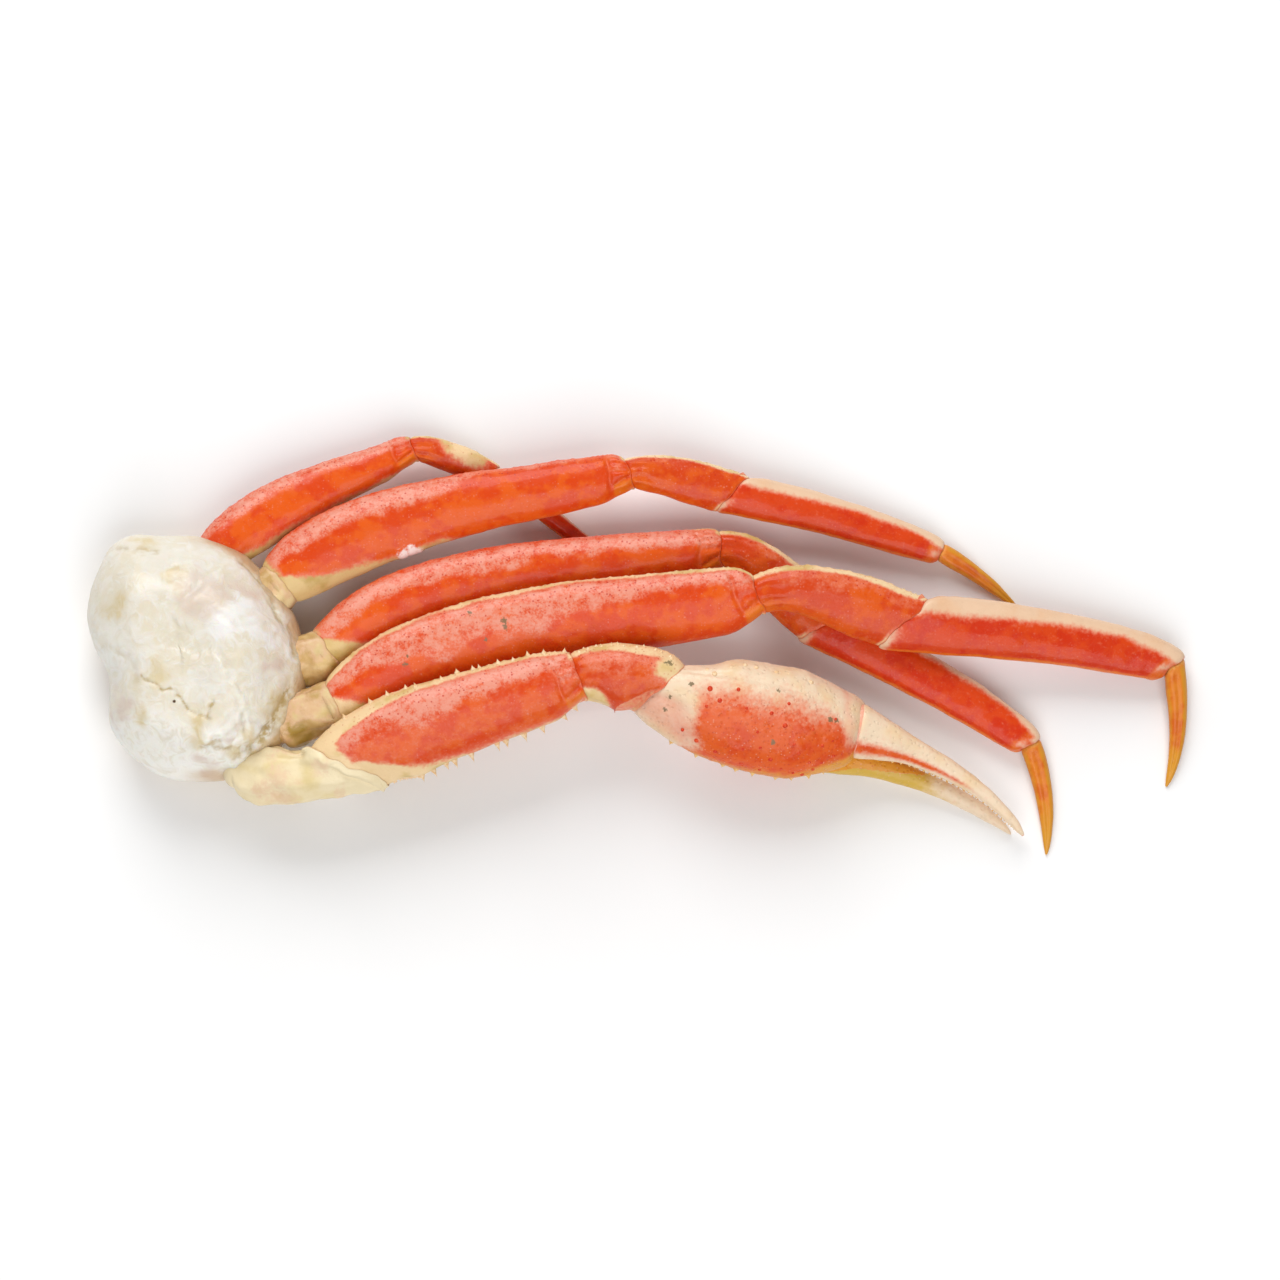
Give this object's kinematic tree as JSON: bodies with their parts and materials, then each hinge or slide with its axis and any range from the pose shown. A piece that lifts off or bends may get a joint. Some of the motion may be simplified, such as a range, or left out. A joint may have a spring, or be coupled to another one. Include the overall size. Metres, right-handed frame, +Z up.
{
  "type": "snow crab leg cluster",
  "caption": "Boiled snow crab cluster with long jointed legs, a pincer arm and a shoulder of white meat, ready to serve on a plate or a seafood display.",
  "frame": {"origin": "centre of the bounding box at the height of the surface it lies on", "axes": "+X from the shoulder towards the leg tips, +Y towards the smallest leg, +Z up"},
  "size_m": [0.2752, 0.1052, 0.0314],
  "materials": {
    "meat": "moist, soft white crab meat under a thin pearly membrane",
    "breastplate": "thin cream shell plates, slightly glossy",
    "joint_shell": "wet cream to olive shell",
    "red_shell": "wet, mottled orange-red cooked shell with a pink bloom",
    "tip_shell": "yellow-ochre horny shell, glossy",
    "claw_shell": "cream and pink shell with small red tubercles"
  },
  "bodies": {
    "root": {"shoulder_meat": "meat", "breastplate": "breastplate", "claw_base": "joint_shell", "claw_merus": "red_shell", "claw_carpus": "red_shell", "claw_palm": "claw_shell", "claw_finger": "claw_shell", "leg_2_base": "joint_shell", "leg_2_merus": "red_shell", "leg_2_carpus": "red_shell", "leg_2_propodus": "red_shell", "leg_2_dactyl": "tip_shell", "leg_3_base": "joint_shell", "leg_3_merus": "red_shell", "leg_3_carpus": "red_shell", "leg_3_propodus": "red_shell", "leg_3_dactyl": "tip_shell", "leg_4_base": "joint_shell", "leg_4_merus": "red_shell", "leg_4_carpus": "red_shell", "leg_4_propodus": "red_shell", "leg_4_dactyl": "tip_shell", "leg_5_base": "joint_shell", "leg_5_merus": "red_shell", "leg_5_carpus": "red_shell", "leg_5_propodus": "red_shell", "leg_5_dactyl": "tip_shell"}
  },
  "joints": []
}
